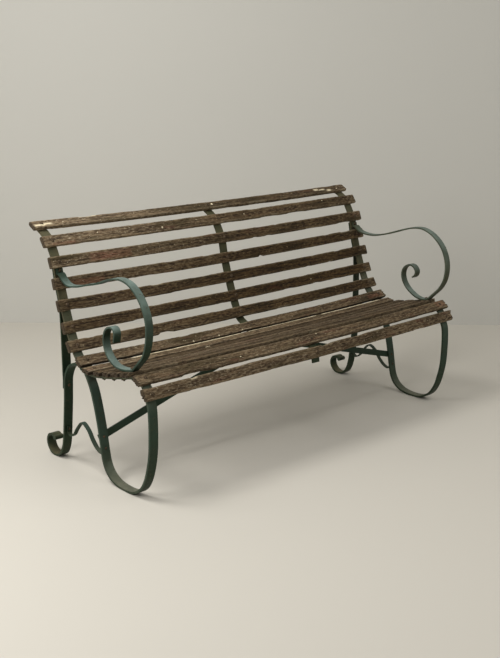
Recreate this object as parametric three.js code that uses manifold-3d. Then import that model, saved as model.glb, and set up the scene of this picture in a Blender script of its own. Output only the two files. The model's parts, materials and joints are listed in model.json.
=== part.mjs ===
// A garden bench of bent flat iron and wooden slats.
//
// Fifteen slats lie across three iron straps. Each end of the bench is one long bar: it comes
// down behind the back slats, swings forward as the rear strand of the front leg, turns up from
// the floor in a wide loop, rolls over the front edge of the seat and runs back under the seat
// slats until it laps onto itself at the corner. A rear leg with a scrolled foot, a straight
// back stay, a wavy stretcher and a scrolled arm are bolted to it. A third strap carries the
// slats at mid-length, held up by two flat braces from the front leg loops.
//
// Millimetres, +Z up. The front of the bench faces -Y and its length lies along X.

import * as THREE from 'three';
import { mergeVertices } from 'three/addons/utils/BufferGeometryUtils.js';
import Module from 'manifold-3d';

const wasm = await Module();
wasm.setup();

// ---------------------------------------------------------------------------------------------
// Driving sizes
// ---------------------------------------------------------------------------------------------

const slatLength = 1520;
const slatWidth = 37;
const slatThickness = 15;
const slatEdgeRadius = 3;
const slatOverhang = 21; // how far the slats run past the outer edge of the end bars

const strapWidth = 32;
const strapThickness = 8;
const legThickness = 8;
const stayThickness = 6;
const armWidth = 26;
const armThickness = 6;
const stretcherWidth = 14;
const stretcherThickness = 5;
const braceWidth = 24;
const braceThickness = 6;
const footRollRadius = 9; // the forged end of each rear foot

const boltRadius = 4;
const boltHeadRadius = 6;
const boltHeadHeight = 4;
const nutRadius = 7.5;
const nutHeight = 5;
const boltEnd = 3; // thread left standing past the nut
const rivetRadius = 2.5;
const rivetHeadRadius = 4.5;
const rivetHeadHeight = 2.5;

const seatGap = 0.3; // paint and rust between two pieces that touch
const holeClearance = 0.4; // between a shank and the wall of its hole
const footWear = 0.5; // depth worn off the iron where it stands on the floor

// ---------------------------------------------------------------------------------------------
// Side profiles, as [distance behind the front, height above the floor]
// ---------------------------------------------------------------------------------------------

// The line that the slats bear on. It starts at the curled top of the back, bends into the dip
// at the back of the seat and ends below the front edge.
const slatLinePoints = [
  [640, 809.5], [618, 797.5], [592, 784], [567, 766], [549, 740], [524, 692], [508, 624],
  [485.5, 554], [460, 485], [438, 438], [421, 408], [390, 390.5], [361, 370], [346, 359.5],
  [329, 355.8], [310, 356], [272, 361.8], [217, 372.4], [164, 384.5], [111, 397], [84, 402],
  [69, 400.5], [54, 392.5], [40, 380], [29, 365], [23, 345], [20, 322],
];

// Distances along that line: the first slat from the top end, then each slat from the one
// before it. The eighth slat lies in the corner between back and seat.
const firstSlat = 23;
const backSlatPitches = [77, 71, 67.5, 77, 73, 70.5, 69];
const seatSlatPitches = [53, 59, 55.5, 55, 54, 57.5, 47.5];

// Centre of the end bar between the corner and the front edge: rear strand, floor, front strand.
const floorLoopPoints = [
  [348, 333], [328, 298], [313, 256], [301, 215], [291, 173], [283, 130], [276, 92],
  [266, 58], [247, 31], [212, 11], [150, strapThickness / 2 - footWear], [104, 10.5],
  [66, 35], [42, 72], [27, 117], [17, 165], [13.5, 225], [14, 282], [18, 318],
];

// Centre of the rear leg past its tab: the arch, the leg and the scrolled foot.
const rearLegPoints = [
  [408, 371.5], [425, 366.5], [443, 359], [461, 346], [475, 325], [483.5, 302], [486, 278], [487, 262],
  [490, 218], [496, 163], [502, 107], [507, 72], [515, 44], [531, 18],
  [562, legThickness / 2 - footWear], [590, 9], [608, 28], [612, 48], [601, 68], [580, 74],
  [566, 66],
];

// Centre of each arm between its tab on the back and its foot on the seat. They were bent by
// hand, and the left one is the fuller at the shoulder.
const armPoints = {
  left: [
    [501, 657], [486, 643], [457, 628], [399, 633], [340, 648], [283, 662], [231, 681],
    [187, 693], [149, 696], [110, 687], [73, 663], [43, 627], [27, 590], [24, 550],
    [31, 508], [46, 474], [72, 446], [90, 429],
  ],
  right: [
    [501, 660], [479, 644], [445, 636], [395, 636], [341, 647], [289, 663], [238, 680],
    [187, 693], [144, 694.5], [103, 681], [67, 656], [40, 624], [24, 585], [20, 547],
    [28, 504], [47, 471], [73, 445], [90, 429],
  ],
};

// Centre of the scroll that each arm ends in, behind its foot.
const armScrollPoints = {
  left: [
    [164, 409], [198, 413.5], [223, 427], [243, 450], [252, 482], [245, 513],
    [225, 531], [202, 532], [192, 520], [193, 504], [197, 487],
  ],
  right: [
    [158, 416], [190, 432], [213, 450], [230, 474], [236, 501], [228, 525],
    [204, 541.5], [180, 537.5], [167, 519], [172, 502], [183, 494],
  ],
};

// Centre of the wavy stretcher between its two tabs, from the rear leg forward.
const stretcherPoints = [
  [481, 95], [460, 104], [439, 131], [405, 162], [373, 147], [345, 113], [319, 92], [297, 86],
];

// Centre of the straight stay between the back of the bar and the rear leg.
const stayPoints = [[498, 540], [494, 480], [493, 400], [493, 330]];

// Heights of the joints on the legs and the back.
const stayTabFoot = 582; // where the stay leaves the back of the bar
const stayBoltHeight = 277; // the stay's foot on the rear leg
const stayFootReach = 13; // how far that foot runs past its bolt, either way
const stretcherRivetHeights = { leg: 116.5, strand: 107.5 };
const stretcherTabReach = 9.5;
const braceHeight = 147;

// Distances along the straps.
const lapLength = 34; // how far the end bar runs on under its own end, past the corner slat
const lapStart = 2; // gap between the end of the seat run and the corner slat
const joggleStart = 6; // where the bar leaves the slat line, past the last back slat
const joggleEnd = 9; // where it lies a layer lower, before the end of the seat run
const armTabStart = 20.5; // arm tab on the back, from the middle of the slat above it
const armTabLength = 15;
const armFootLength = 28;
const legTabLength = 24;
const braceTabLength = 34; // level end of a brace, from the middle of the bench
const braceTwistLength = 60;

// ---------------------------------------------------------------------------------------------
// Curves in the side view
// ---------------------------------------------------------------------------------------------

const pointSpacing = 12; // between the points that one line takes from another
const lapSpacing = 6; // the same along the lap
const tabSpacing = 3; // and along a short tab
const chordTolerance = 0.08; // how far a straight facet may stray from its curve
const longestFacet = 60;
const cylinderSides = 12;

/** A smooth line in the side view, measured by the distance along it. */
class SideLine {
  constructor(points) {
    const knots = points.map(([u, z]) => new THREE.Vector3(u, z, 0));
    this.curve = new THREE.CatmullRomCurve3(knots, false, 'centripetal');
    this.curve.arcLengthDivisions = 40 * points.length;
    this.length = this.curve.getLength();
  }

  /** The point at a station, moved off the line: positive is to the right of travel. */
  at(station, offset = 0) {
    const share = THREE.MathUtils.clamp(station / this.length, 0, 1);
    const point = this.curve.getPointAt(share);
    const normal = this.normal(station);
    return [point.x + normal[0] * offset, point.y + normal[1] * offset];
  }

  normal(station) {
    const share = THREE.MathUtils.clamp(station / this.length, 0, 1);
    const tangent = this.curve.getTangentAt(share);
    return [tangent.y, -tangent.x];
  }

  /** The first station at which the line reaches a height, going down. */
  stationAtHeight(height) {
    const step = 0.25;
    let station = 0;
    let peaked = false;
    while (station < this.length) {
      const here = this.at(station)[1];
      peaked = peaked || here > height;
      if (peaked && here <= height) return station;
      station += step;
    }
    return this.length;
  }

  /** Points along a stretch of the line, moved off it by an offset. */
  stretch(from, to, offset, spacing = pointSpacing) {
    const count = Math.max(2, Math.ceil(Math.abs(to - from) / spacing));
    const points = [];
    for (let i = 0; i <= count; i++) {
      points.push(this.at(from + ((to - from) * i) / count, offset));
    }
    return points;
  }

  /** How far the line strays from the chord between two stations. */
  strayFrom(start, end) {
    const [from, to] = [this.at(start), this.at(end)];
    const chord = [to[0] - from[0], to[1] - from[1]];
    return Math.max(...[0.25, 0.5, 0.75].map((share) => {
      const point = this.at(start + share * (end - start));
      const across = (point[0] - from[0]) * chord[1] - (point[1] - from[1]) * chord[0];
      return Math.abs(across) / Math.hypot(...chord);
    }));
  }

  /** Stations for the facets: long steps where the line is straight, short ones where it bends. */
  facetStations() {
    const stations = [0];
    while (stations.at(-1) < this.length) {
      const from = stations.at(-1);
      let to = Math.min(from + longestFacet, this.length);
      while (this.strayFrom(from, to) > chordTolerance) to = from + (to - from) * 0.85;
      stations.push(to);
    }
    return stations;
  }
}

// A shape is drawn in XY and extruded along Z. This turns it into the side view: X to Y, Y to Z
// and the extrusion along the length of the bench.
const intoSideView = new THREE.Matrix4().makeBasis(
  new THREE.Vector3(0, 1, 0),
  new THREE.Vector3(0, 0, 1),
  new THREE.Vector3(1, 0, 0),
);

/** Extrude an outline of the side view along X, evenly to both sides. */
function extrudeAcross(outline, width, curveSegments) {
  const solid = new THREE.ExtrudeGeometry(outline, { depth: width, curveSegments, bevelEnabled: false });
  return solid.translate(0, 0, -width / 2).applyMatrix4(intoSideView);
}

/** Flat bar bent along a side line. */
function bentStrap(line, thickness, width) {
  const stations = line.facetStations();
  const outer = stations.map((station) => line.at(station, thickness / 2));
  const inner = stations.map((station) => line.at(station, -thickness / 2)).reverse();
  const corners = [...outer, ...inner].map(([u, z]) => new THREE.Vector2(u, z));
  return extrudeAcross(new THREE.Shape(corners), width);
}

// ---------------------------------------------------------------------------------------------
// Joining and cutting
// ---------------------------------------------------------------------------------------------

function toSolid(geometry) {
  const bare = geometry.clone();
  bare.deleteAttribute('normal');
  bare.deleteAttribute('uv');
  const merged = mergeVertices(bare, 1e-4);
  const vertProperties = new Float32Array(merged.attributes.position.array);
  const triVerts = new Uint32Array(merged.index.array);
  return new wasm.Manifold(new wasm.Mesh({ numProp: 3, vertProperties, triVerts }));
}

function toGeometry(solid) {
  const { vertProperties, triVerts } = solid.getMesh();
  const geometry = new THREE.BufferGeometry();
  geometry.setAttribute('position', new THREE.BufferAttribute(vertProperties, 3));
  geometry.setIndex(new THREE.BufferAttribute(triVerts, 1));
  geometry.computeVertexNormals();
  return geometry;
}

function join(a, b) {
  return toGeometry(toSolid(a).add(toSolid(b)));
}

function cut(body, tool) {
  return toGeometry(toSolid(body).subtract(toSolid(tool)));
}

/** Turn that points local +Z along a direction in the side view. */
function leanOf([u, z]) {
  return Math.atan2(-u, z);
}

/** Drill a hole through a piece at a point of the side view, along a direction in it. */
function drill(body, shankRadius, [u, z], direction, reach, x = 0) {
  const radius = shankRadius + holeClearance;
  const hole = new THREE.CylinderGeometry(radius, radius, 2 * reach, cylinderSides);
  hole.rotateX(Math.PI / 2 + leanOf(direction));
  hole.translate(x, u, z);
  return cut(body, hole);
}

/** Take off what lies below the floor, which leaves a small flat face to stand on. */
function standOnFloor(body) {
  const size = 2 * slatLength;
  const floor = new THREE.BoxGeometry(size, size, size).translate(0, 0, -size / 2);
  return cut(body, floor);
}

// ---------------------------------------------------------------------------------------------
// Where the slats sit
// ---------------------------------------------------------------------------------------------

const strapX = slatLength / 2 - slatOverhang - strapWidth / 2; // middle of each end bar
const slatLine = new SideLine(slatLinePoints);

/** How a flat slat sits on the bent line: its middle, its lean and what it clears. */
function seatSlat(station) {
  const [rear, front] = [station - slatWidth / 2, station + slatWidth / 2].map((s) => slatLine.at(s));
  const chord = [front[0] - rear[0], front[1] - rear[1]];
  const along = chord.map((step) => step / Math.hypot(...chord));
  const up = [along[1], -along[0]];
  const heightOver = ([u, z]) => (u - rear[0]) * up[0] + (z - rear[1]) * up[1];
  const under = slatLine.stretch(station - slatWidth / 2, station + slatWidth / 2, 0, tabSpacing);
  const bulge = Math.max(...under.map(heightOver));
  const middle = heightOver(slatLine.at(station));
  const lift = bulge + seatGap;
  const base = [(rear[0] + front[0]) / 2 + up[0] * lift, (rear[1] + front[1]) / 2 + up[1] * lift];
  return {
    up,
    along,
    bed: lift - middle, // from the underside of the slat down to the strap
    /** A point of the side view: along the slat from its middle, and up from its underside. */
    point: (forward, height) => [
      base[0] + along[0] * forward + up[0] * height,
      base[1] + along[1] * forward + up[1] * height,
    ],
  };
}

const pitches = [...backSlatPitches, ...seatSlatPitches];
const slatStations = pitches.reduce((all, pitch) => [...all, all.at(-1) + pitch], [firstSlat]);
const slatSeats = slatStations.map(seatSlat);
const cornerSlat = backSlatPitches.length; // index of the slat between back and seat
const footSlat = slatSeats.length - 3; // index of the slat that the arms stand on
const slatAboveArm = 2; // index of the slat just above the tab of each arm

const cornerStation = slatStations[cornerSlat];
const armBoltStation = slatStations[slatAboveArm] + armTabStart + boltHeadRadius + seatGap;
const braceBoltStation = (slatStations[cornerSlat + 1] + slatStations[cornerSlat + 2]) / 2;

// ---------------------------------------------------------------------------------------------
// Centre lines of the bent iron
// ---------------------------------------------------------------------------------------------

/** Distance from the middle of one strap to the middle of the next one on it. */
function layer(below, above) {
  return below / 2 + seatGap + above / 2;
}

// Layers at the corner, down from the slat line: end of the seat run, back of the bar, leg tab.
const runDepth = strapThickness / 2;
const lapDepth = runDepth + layer(strapThickness, strapThickness);
const legTabDepth = lapDepth + layer(strapThickness, legThickness);

const seatRunEnd = cornerStation - slatWidth / 2 - lapStart;
const lapEnd = cornerStation + lapLength / 2;
const lastBackSlat = slatStations[cornerSlat - 1];
const frontSlat = slatStations.at(-1);

const barLine = new SideLine([
  ...slatLine.stretch(0, lastBackSlat + joggleStart, -runDepth),
  ...slatLine.stretch(seatRunEnd - joggleEnd, lapEnd, -lapDepth, lapSpacing),
  ...floorLoopPoints,
  ...slatLine.stretch(frontSlat + slatWidth / 2, seatRunEnd, -runDepth),
]);

const centreLine = new SideLine(slatLine.stretch(0, slatLine.length, -runDepth));

const legTabEnds = [cornerStation + legTabLength / 2, cornerStation - legTabLength / 2];
const legLine = new SideLine([
  ...slatLine.stretch(...legTabEnds, -legTabDepth, lapSpacing),
  ...rearLegPoints,
]);

/** A tab that lies along another line about a height, moved off it: positive is to its front. */
function tabOn(line, height, reach, offset) {
  const [top, bottom] = [height + reach, height - reach].map((h) => line.stationAtHeight(h));
  return line.stretch(top, bottom, offset, tabSpacing);
}

const stayLine = new SideLine([
  ...slatLine.stretch(
    slatStations[slatAboveArm] + slatWidth / 2,
    slatLine.stationAtHeight(stayTabFoot),
    -strapThickness - seatGap - stayThickness / 2,
  ),
  ...stayPoints,
  ...tabOn(legLine, stayBoltHeight, stayFootReach, -layer(legThickness, stayThickness)),
]);

const onLeg = layer(legThickness, stretcherThickness);
const onStrand = -layer(strapThickness, stretcherThickness);
const stretcherLine = new SideLine([
  ...tabOn(legLine, stretcherRivetHeights.leg, stretcherTabReach, onLeg),
  ...stretcherPoints,
  ...tabOn(barLine, stretcherRivetHeights.strand, stretcherTabReach, onStrand).reverse(),
]);

function armLine(side) {
  const tabStart = slatStations[slatAboveArm] + armTabStart;
  const depth = seatGap + armThickness / 2;
  const onBack = slatLine.stretch(tabStart, tabStart + armTabLength, depth, tabSpacing);
  const foot = slatSeats[footSlat];
  const onSeat = [0.5, 0.25, 0, -0.25, -0.5].map((share) =>
    foot.point(share * armFootLength, slatThickness + depth));
  return new SideLine([...onBack, ...armPoints[side], ...onSeat, ...armScrollPoints[side]]);
}

// ---------------------------------------------------------------------------------------------
// Pieces
// ---------------------------------------------------------------------------------------------

const iron = { color: 0x26332c, roughness: 0.62, metalness: 0.35 };
const wood = { color: 0x6b5c4a, roughness: 0.9, metalness: 0 };
const rust = { color: 0x4a3326, roughness: 0.85, metalness: 0.4 };

const bench = new THREE.Group();

function add(name, geometry, look, [x, y, z] = [0, 0, 0]) {
  const mesh = new THREE.Mesh(geometry, new THREE.MeshStandardMaterial(look));
  mesh.name = name;
  mesh.position.set(x, y, z);
  bench.add(mesh);
  return mesh;
}

const sides = { left: -1, right: 1 };
const boltReach = 30; // half the depth of the deepest stack of pieces under one bolt
const rivetReach = 12;

/** The plank section, width along Y and thickness along Z, with eased edges. */
function slatSection() {
  const [w, t, r] = [slatWidth / 2, slatThickness / 2, slatEdgeRadius];
  const section = new THREE.Shape();
  section.absarc(w - r, t - r, r, 0, Math.PI / 2);
  section.absarc(-w + r, t - r, r, Math.PI / 2, Math.PI);
  section.absarc(-w + r, -t + r, r, Math.PI, 1.5 * Math.PI);
  section.absarc(w - r, -t + r, r, 1.5 * Math.PI, 2 * Math.PI);
  section.closePath();
  return section;
}

function slatName(index) {
  if (index < cornerSlat) return `back_slat_${index + 1}`;
  if (index === cornerSlat) return 'corner_slat';
  if (index <= footSlat) return `seat_slat_${index - cornerSlat}`;
  return index === footSlat + 1 ? 'front_roll_slat' : 'front_edge_slat';
}

slatSeats.forEach((seat, index) => {
  let plank = extrudeAcross(slatSection(), slatLength, 2);
  if (index === cornerSlat || index === footSlat) {
    for (const side of Object.values(sides)) {
      plank = drill(plank, boltRadius, [0, 0], [0, 1], boltReach, side * strapX);
    }
  }
  const slat = add(slatName(index), plank, wood, [0, ...seat.point(0, slatThickness / 2)]);
  slat.rotation.x = leanOf(seat.up);
});

/** A round-headed bolt with its nut, its grip measured either way from the mesh's origin. */
function boltGeometry(gripUp, gripDown) {
  const end = -gripDown - nutHeight - boltEnd;
  const profile = [[0, end], [boltRadius - 1, end], [boltRadius, end + 1], [boltRadius, gripUp]];
  const shank = new THREE.LatheGeometry([...profile, ...dome(boltHeadRadius, boltHeadHeight, gripUp)]
    .map(([r, h]) => new THREE.Vector2(r, h)), cylinderSides);
  const nut = new THREE.CylinderGeometry(nutRadius, nutRadius, nutHeight, 6);
  nut.translate(0, -gripDown - nutHeight / 2, 0);
  return join(shank, nut).rotateX(Math.PI / 2);
}

/** Half profile of a domed head that stands on a height, from its rim to its crown. */
function dome(radius, height, base) {
  const steps = 3;
  const rim = height / 4;
  const points = [[radius, base]];
  for (let i = 0; i <= steps; i++) {
    const turn = (i / steps) * (Math.PI / 2);
    points.push([radius * Math.cos(turn), base + rim + (height - rim) * Math.sin(turn)]);
  }
  points[points.length - 1][0] = 0;
  return points;
}

/** A rivet with a head at both ends. */
function rivetGeometry(gripUp, gripDown) {
  const upper = dome(rivetHeadRadius, rivetHeadHeight, gripUp);
  const lower = dome(rivetHeadRadius, rivetHeadHeight, gripDown).map(([r, h]) => [r, -h]).reverse();
  const profile = [...lower, [rivetRadius, -gripDown], [rivetRadius, gripUp], ...upper];
  const rivet = new THREE.LatheGeometry(profile.map(([r, h]) => new THREE.Vector2(r, h)), cylinderSides);
  return rivet.rotateX(Math.PI / 2);
}

function addFastener(name, geometry, x, [u, z], direction) {
  const fastener = add(name, geometry, rust, [x, u, z]);
  fastener.rotation.x = leanOf(direction);
}

// The joints, as a point of the side view and the direction that the head faces.
const armBolt = { at: slatLine.at(armBoltStation), head: slatLine.normal(armBoltStation) };
const cornerBolt = { at: slatSeats[cornerSlat].point(0, 0), head: slatSeats[cornerSlat].up };
const footBolt = { at: slatSeats[footSlat].point(0, 0), head: slatSeats[footSlat].up };
const stayJoint = legLine.stationAtHeight(stayBoltHeight);
const stayBolt = { at: legLine.at(stayJoint), head: legLine.normal(stayJoint) };
const legTab = legLine.stationAtHeight(stretcherRivetHeights.leg);
const rearRivet = { at: legLine.at(legTab), head: legLine.normal(legTab) };
const strandTab = barLine.stationAtHeight(stretcherRivetHeights.strand);
const frontRivet = { at: barLine.at(strandTab), head: barLine.normal(strandTab) };
const braceStation = barLine.stationAtHeight(braceHeight);
const braceRivet = { at: barLine.at(braceStation), head: barLine.normal(braceStation) };
const braceBolt = { at: slatLine.at(braceBoltStation), head: slatLine.normal(braceBoltStation) };

const endBar = () => {
  let bar = standOnFloor(bentStrap(barLine, strapThickness, strapWidth));
  for (const bolt of [armBolt, cornerBolt, footBolt]) {
    bar = drill(bar, boltRadius, bolt.at, bolt.head, boltReach);
  }
  for (const rivet of [frontRivet, braceRivet]) {
    bar = drill(bar, rivetRadius, rivet.at, rivet.head, rivetReach);
  }
  return bar;
};

const rearLeg = () => {
  const roll = new THREE.CylinderGeometry(footRollRadius, footRollRadius, strapWidth, cylinderSides);
  const [u, z] = rearLegPoints.at(-1);
  roll.rotateZ(Math.PI / 2).translate(0, u, z);
  let leg = standOnFloor(join(bentStrap(legLine, legThickness, strapWidth), roll));
  for (const bolt of [cornerBolt, stayBolt]) {
    leg = drill(leg, boltRadius, bolt.at, bolt.head, boltReach);
  }
  return drill(leg, rivetRadius, rearRivet.at, rearRivet.head, rivetReach);
};

const backStay = () => {
  let stay = bentStrap(stayLine, stayThickness, strapWidth);
  for (const bolt of [armBolt, stayBolt]) {
    stay = drill(stay, boltRadius, bolt.at, bolt.head, boltReach);
  }
  return stay;
};

const arm = (side) => {
  let strap = bentStrap(armLine(side), armThickness, armWidth);
  for (const bolt of [armBolt, footBolt]) {
    strap = drill(strap, boltRadius, bolt.at, bolt.head, boltReach);
  }
  return strap;
};

const stretcher = () => {
  let strip = bentStrap(stretcherLine, stretcherThickness, stretcherWidth);
  for (const rivet of [rearRivet, frontRivet]) {
    strip = drill(strip, rivetRadius, rivet.at, rivet.head, rivetReach);
  }
  return strip;
};

const centreStrap = () => {
  const strap = bentStrap(centreLine, strapThickness, strapWidth);
  return drill(strap, boltRadius, braceBolt.at, braceBolt.head, boltReach);
};

/** A solid through a row of rectangular sections, each a list of four corners. */
function loft(sections) {
  const corners = 4;
  const index = [0, 2, 1, 0, 3, 2];
  for (let i = 0; i + 1 < sections.length; i++) {
    for (let j = 0; j < corners; j++) {
      const [a, b] = [i * corners + j, i * corners + ((j + 1) % corners)];
      index.push(a, b, b + corners, a, b + corners, a + corners);
    }
  }
  const last = (sections.length - 1) * corners;
  index.push(last, last + 1, last + 2, last, last + 2, last + 3);
  const geometry = new THREE.BufferGeometry().setFromPoints(sections.flat());
  geometry.setIndex(index);
  geometry.computeVertexNormals();
  return geometry;
}

/** Flat bar on edge from the rear strand to the middle, its end twisted flat and bent level. */
function brace(side, level) {
  const inward = new THREE.Vector3(-side, 0, 0);
  const place = (x, [u, z]) => new THREE.Vector3(x, u, z);
  const rearward = place(0, braceRivet.head).negate();
  const downward = place(0, braceBolt.head).negate();
  const depth = strapThickness + seatGap + braceThickness / 2 + level * (braceThickness + seatGap);
  const heel = place(side * strapX, barLine.at(braceStation, -layer(strapThickness, braceThickness)));
  const elbow = place(side * braceTabLength, slatLine.at(braceBoltStation, -depth));
  const rise = elbow.clone().sub(heel).normalize();
  const alongStrand = rise.clone().projectOnPlane(rearward).normalize();

  const section = (middle, direction, twist) => {
    const face = rearward.clone().multiplyScalar(Math.cos((twist * Math.PI) / 2));
    face.addScaledVector(downward, Math.sin((twist * Math.PI) / 2));
    face.projectOnPlane(direction).setLength(braceThickness / 2);
    const edge = face.clone().cross(direction).setLength(braceWidth / 2);
    return [[1, 1], [1, -1], [-1, -1], [-1, 1]].map(([f, e]) =>
      middle.clone().addScaledVector(face, f).addScaledVector(edge, e));
  };

  const tabTrim = 2;
  const tabHalf = strapWidth / 2 + tabTrim;
  const bend = braceThickness * 2;
  const tabEnd = heel.clone().addScaledVector(alongStrand, tabHalf);
  const run = elbow.clone().addScaledVector(rise, -bend);
  const sections = [
    section(heel.clone().addScaledVector(alongStrand, 2 * tabTrim - tabHalf), alongStrand, 0),
    section(tabEnd, alongStrand.clone().add(rise).normalize(), 0),
  ];
  const twistSteps = 8;
  for (let i = 0; i <= twistSteps; i++) {
    const middle = run.clone().addScaledVector(rise, -braceTwistLength * (1 - i / twistSteps));
    sections.push(section(middle, rise, THREE.MathUtils.smoothstep(i, 0, twistSteps)));
  }
  const inner = elbow.clone().addScaledVector(inward, bend);
  const knee = run.clone().add(inner).multiplyScalar(0.25).addScaledVector(elbow, 0.5);
  sections.push(section(knee, rise.clone().add(inward).normalize(), 1));
  sections.push(section(inner, inward, 1));
  const tip = elbow.clone().addScaledVector(inward, braceTabLength + tabHalf - 2 * tabTrim);
  sections.push(section(tip, inward, 1));

  let bar = loft(sections);
  bar = drill(bar, rivetRadius, braceRivet.at, braceRivet.head, rivetReach, side * strapX);
  return drill(bar, boltRadius, braceBolt.at, braceBolt.head, boltReach);
}

// ---------------------------------------------------------------------------------------------
// The bench
// ---------------------------------------------------------------------------------------------

add('centre_strap', centreStrap(), iron);

Object.entries(sides).forEach(([side, sign], level) => {
  const x = sign * strapX;
  add(`end_bar_${side}`, endBar(), iron, [x, 0, 0]);
  add(`rear_leg_${side}`, rearLeg(), iron, [x, 0, 0]);
  add(`back_stay_${side}`, backStay(), iron, [x, 0, 0]);
  add(`arm_${side}`, arm(side), iron, [x, 0, 0]);
  add(`stretcher_${side}`, stretcher(), iron, [x, 0, 0]);
  add(`brace_${side}`, brace(sign, level), iron);

  const bed = strapThickness + seatGap;
  addFastener(`arm_bolt_${side}`,
    boltGeometry(armThickness + 2 * seatGap, bed + stayThickness + seatGap), x, armBolt.at, armBolt.head);
  addFastener(`corner_bolt_${side}`,
    boltGeometry(slatThickness + seatGap, slatSeats[cornerSlat].bed + 2 * bed + legThickness + seatGap),
    x, cornerBolt.at, cornerBolt.head);
  addFastener(`arm_foot_bolt_${side}`,
    boltGeometry(slatThickness + armThickness + 2 * seatGap, slatSeats[footSlat].bed + bed),
    x, footBolt.at, footBolt.head);
  addFastener(`stay_bolt_${side}`,
    boltGeometry(legThickness / 2 + seatGap, legThickness / 2 + 2 * seatGap + stayThickness),
    x, stayBolt.at, stayBolt.head);
  addFastener(`rear_stretcher_rivet_${side}`,
    rivetGeometry(legThickness / 2 + 2 * seatGap + stretcherThickness, legThickness / 2 + seatGap),
    x, rearRivet.at, rearRivet.head);
  addFastener(`front_stretcher_rivet_${side}`,
    rivetGeometry(strapThickness / 2 + seatGap, strapThickness / 2 + 2 * seatGap + stretcherThickness),
    x, frontRivet.at, frontRivet.head);
  addFastener(`brace_rivet_${side}`,
    rivetGeometry(strapThickness / 2 + seatGap, strapThickness / 2 + 2 * seatGap + braceThickness),
    x, braceRivet.at, braceRivet.head);
});

addFastener('centre_brace_bolt',
  boltGeometry(seatGap, strapThickness + 2 * braceThickness + 3 * seatGap),
  0, braceBolt.at, braceBolt.head);

// Put the middle of the bench, front to back, over the origin.
const extent = new THREE.Box3().setFromObject(bench);
for (const piece of bench.children) piece.position.y -= (extent.min.y + extent.max.y) / 2;

export default bench;
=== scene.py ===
# %% [markdown]
# # An old slatted garden bench
# Fifteen wooden slats lie on three bent iron straps, and two iron ends carry them.
# This lesson dresses the bench for a picture: old wood, old paint, rust, light and a camera.
# The solids of the bench are loaded first and stay where they are.
# Blender works in metres here, so a size in millimetres is written times MM.

# %% Load the solids
import json
import math
import random

import bmesh
import bpy
import numpy as np
from mathutils import Matrix, Vector, noise

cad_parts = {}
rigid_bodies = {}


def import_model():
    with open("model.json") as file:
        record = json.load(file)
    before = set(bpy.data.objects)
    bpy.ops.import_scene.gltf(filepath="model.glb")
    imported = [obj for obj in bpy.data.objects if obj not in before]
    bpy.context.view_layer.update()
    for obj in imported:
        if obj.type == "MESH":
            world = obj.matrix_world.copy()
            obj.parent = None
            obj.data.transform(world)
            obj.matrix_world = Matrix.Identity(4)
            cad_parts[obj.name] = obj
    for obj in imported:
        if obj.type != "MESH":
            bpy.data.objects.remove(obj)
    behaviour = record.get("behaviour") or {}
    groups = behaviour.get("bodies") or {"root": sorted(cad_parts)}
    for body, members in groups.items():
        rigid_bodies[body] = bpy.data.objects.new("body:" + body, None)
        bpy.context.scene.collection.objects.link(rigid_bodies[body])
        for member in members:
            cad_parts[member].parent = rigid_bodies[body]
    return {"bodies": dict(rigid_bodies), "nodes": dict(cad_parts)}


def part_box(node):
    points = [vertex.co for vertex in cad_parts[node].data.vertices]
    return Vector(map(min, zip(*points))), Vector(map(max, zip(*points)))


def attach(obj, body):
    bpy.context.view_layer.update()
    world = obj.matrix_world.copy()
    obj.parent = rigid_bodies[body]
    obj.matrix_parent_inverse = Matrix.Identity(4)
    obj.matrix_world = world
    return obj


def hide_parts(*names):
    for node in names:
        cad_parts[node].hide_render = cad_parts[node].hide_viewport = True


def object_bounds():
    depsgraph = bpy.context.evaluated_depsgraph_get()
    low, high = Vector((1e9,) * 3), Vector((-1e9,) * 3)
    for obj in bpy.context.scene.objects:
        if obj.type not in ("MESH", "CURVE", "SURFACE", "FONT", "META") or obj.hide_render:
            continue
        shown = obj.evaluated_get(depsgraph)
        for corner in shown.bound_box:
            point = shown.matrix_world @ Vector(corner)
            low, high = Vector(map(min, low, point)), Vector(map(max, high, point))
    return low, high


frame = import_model()
CAD_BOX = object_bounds()
MM = 0.001
BODY = next(iter(frame["bodies"]))
print("body", BODY, "and", len(frame["nodes"]), "solids, box in mm:",
      [round(side / MM) for side in CAD_BOX[1] - CAD_BOX[0]])

# %% [markdown]
# ## The camera
# A long lens stands off the left front corner, a little above the back of the bench.
# Its three axes are built from its heading, its tilt and a slight roll.
# A matrix made of those axes is exact, and easier to follow than three Euler angles.

# %% Place the camera
CAMERA_AT = Vector((-2.5603, -2.7662, 1.3932))
HEADING = math.radians(-42.350)
TILT = math.radians(15.102)
ROLL = math.radians(0.310)
LENS = 57.69


def camera_matrix(place, heading, tilt, roll):
    """The camera's place and its axes: right, up, and back out of the lens."""
    back = Vector((math.sin(heading) * math.cos(tilt), -math.cos(heading) * math.cos(tilt),
                   math.sin(tilt)))
    level = Vector((math.cos(heading), math.sin(heading), 0))
    above = back.cross(level)
    right = math.cos(roll) * level + math.sin(roll) * above
    up = -math.sin(roll) * level + math.cos(roll) * above
    axes = Matrix((right, up, back)).transposed().to_4x4()
    return Matrix.Translation(place) @ axes


camera = bpy.data.objects.new("camera", bpy.data.cameras.new("camera"))
camera.data.lens = LENS
camera.matrix_world = camera_matrix(CAMERA_AT, HEADING, TILT, ROLL)
bpy.context.collection.objects.link(camera)
bpy.context.scene.camera = camera
print("camera at", [round(value, 3) for value in camera.matrix_world.translation])

# %% [markdown]
# ## Colours and nodes
# Colours are picked as sRGB hex values, but shaders work in linear light.
# One function turns the first into the second, and another adds a node with its settings.
# A third turns the real size of a pattern into the scale that its texture needs.

# %% Helpers for every material


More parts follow.
